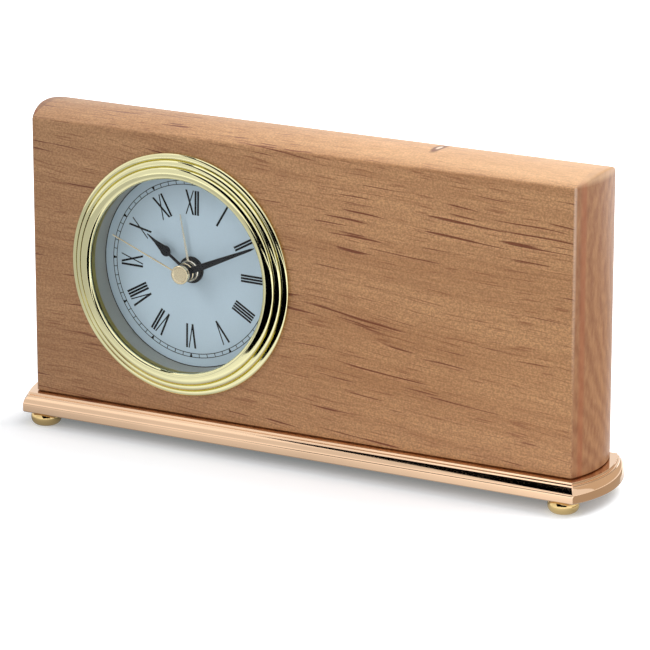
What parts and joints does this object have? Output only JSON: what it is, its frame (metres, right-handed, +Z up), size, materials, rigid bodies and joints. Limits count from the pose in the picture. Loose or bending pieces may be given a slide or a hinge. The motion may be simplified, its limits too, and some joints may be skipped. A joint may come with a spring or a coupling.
{
  "type": "desk clock",
  "caption": "Wooden block desk clock with a round analogue alarm insert, on a moulded gold base with bun feet.",
  "frame": {"origin": "on the table under the middle of the clock's box, at foot level", "axes": "+X to the right along the length as seen from the front, +Y from the dial to the back, +Z up"},
  "size_m": [0.2336, 0.0422, 0.1185],
  "materials": {
    "wood": "open-grained light brown hardwood, satin lacquer",
    "rose_gold": "polished rose-gold plating",
    "bezel_gold": "polished pale gold plating",
    "lens_glass": "clear flat mineral glass",
    "rehaut_grey": "satin grey",
    "dial_silver": "fine sparkle silver-blue lacquer",
    "black_hand": "black enamel",
    "gold_hand": "polished pale gold",
    "black_plastic": "fine spark-eroded texture",
    "white_plastic": "satin",
    "grip_rubber": "matt",
    "gear_plastic": "natural acetal",
    "steel": "bright zinc plated",
    "copper_wire": "enamelled copper winding",
    "board_green": "solder resist",
    "buzzer_brass": "satin",
    "cell_jacket": "plain dark sleeve"
  },
  "bodies": {
    "case": {"wood_block": "wood", "base_plate": "rose_gold", "base_screws": "steel", "foot_front_left": "rose_gold", "foot_front_right": "rose_gold", "foot_back_left": "rose_gold", "foot_back_right": "rose_gold", "bezel": "bezel_gold", "lens": "lens_glass", "rehaut": "rehaut_grey", "dial": "dial_silver", "dial_nut": "black_hand", "insert_body": "black_plastic", "grip_ring": "grip_rubber", "middle_plate": "white_plastic", "train_bridge": "white_plastic", "bridge_screws": "steel", "stator": "steel", "drive_coil": "copper_wire", "circuit_board": "board_green", "quartz_crystal": "steel", "buzzer": "buzzer_brass", "battery_cell": "cell_jacket", "contact_positive": "steel", "contact_negative": "steel", "back_cover": "black_plastic", "cover_screws": "steel"},
    "second_hand_train": {"seconds_wheel": "gear_plastic", "second_hand": "gold_hand"},
    "transfer_train": {"transfer_wheel": "gear_plastic"},
    "rotor_train": {"rotor": "gear_plastic"},
    "third_train": {"third_wheel": "gear_plastic"},
    "centre_train": {"centre_wheel": "gear_plastic"},
    "time_setting": {"motion_wheel": "gear_plastic", "time_knob": "black_plastic"},
    "minute_train": {"cannon_pinion": "gear_plastic", "minute_hand": "black_hand"},
    "hour_train": {"hour_wheel": "gear_plastic", "hour_hand": "black_hand"},
    "alarm_setting": {"alarm_arbor": "gear_plastic", "alarm_knob": "black_plastic"},
    "alarm_train": {"alarm_wheel": "gear_plastic", "alarm_hand": "gold_hand"},
    "alarm_slide": {"alarm_switch": "white_plastic"},
    "cell_door": {"battery_door": "black_plastic"}
  },
  "joints": [
    {"name": "second_turn", "type": "hinge", "parent": "case", "child": "second_hand_train", "pos_m": [-0.0466, 0.00473, 0.0644], "axis": [0, 1, 0], "continuous": true},
    {"name": "transfer_turn", "type": "hinge", "parent": "case", "child": "transfer_train", "pos_m": [-0.0421, 0.00613, 0.07219], "axis": [0, 1, 0], "continuous": true},
    {"name": "rotor_turn", "type": "hinge", "parent": "case", "child": "rotor_train", "pos_m": [-0.0354, 0.00613, 0.07782], "axis": [0, 1, 0], "continuous": true},
    {"name": "third_turn", "type": "hinge", "parent": "case", "child": "third_train", "pos_m": [-0.05102, 0.00332, 0.07206], "axis": [0, 1, 0], "continuous": true},
    {"name": "centre_turn", "type": "hinge", "parent": "case", "child": "centre_train", "pos_m": [-0.0466, 0.00193, 0.0644], "axis": [0, 1, 0], "continuous": true},
    {"name": "time_knob_turn", "type": "hinge", "parent": "case", "child": "time_setting", "pos_m": [-0.03733, 0.01512, 0.06191], "axis": [0, 1, 0], "continuous": true},
    {"name": "minute_turn", "type": "hinge", "parent": "case", "child": "minute_train", "pos_m": [-0.0466, -0.00108, 0.0644], "axis": [0, 1, 0], "continuous": true},
    {"name": "hour_turn", "type": "hinge", "parent": "case", "child": "hour_train", "pos_m": [-0.0466, -0.00278, 0.0644], "axis": [0, 1, 0], "continuous": true},
    {"name": "alarm_knob_turn", "type": "hinge", "parent": "case", "child": "alarm_setting", "pos_m": [-0.06004, 0.01512, 0.0644], "axis": [0, 1, 0], "continuous": true},
    {"name": "alarm_turn", "type": "hinge", "parent": "case", "child": "alarm_train", "pos_m": [-0.0466, -0.00438, 0.0644], "axis": [0, 1, 0], "continuous": true},
    {"name": "alarm_switch_slide", "type": "slide", "parent": "case", "child": "alarm_slide", "axis": [1, 0, 0], "range_m": [0, 0.004]},
    {"name": "battery_door_slide", "type": "slide", "parent": "case", "child": "cell_door", "axis": [0, 1, 0], "range_m": [0, 0.03]}
  ],
  "couplings": [
    {"joint": "transfer_turn", "follows": "second_turn", "ratio": -5},
    {"joint": "rotor_turn", "follows": "second_turn", "ratio": 30},
    {"joint": "third_turn", "follows": "second_turn", "ratio": -0.125},
    {"joint": "centre_turn", "follows": "second_turn", "ratio": 0.016667},
    {"joint": "minute_turn", "follows": "time_knob_turn", "ratio": -3},
    {"joint": "hour_turn", "follows": "time_knob_turn", "ratio": -0.25},
    {"joint": "alarm_turn", "follows": "alarm_knob_turn", "ratio": -0.33333}
  ]
}
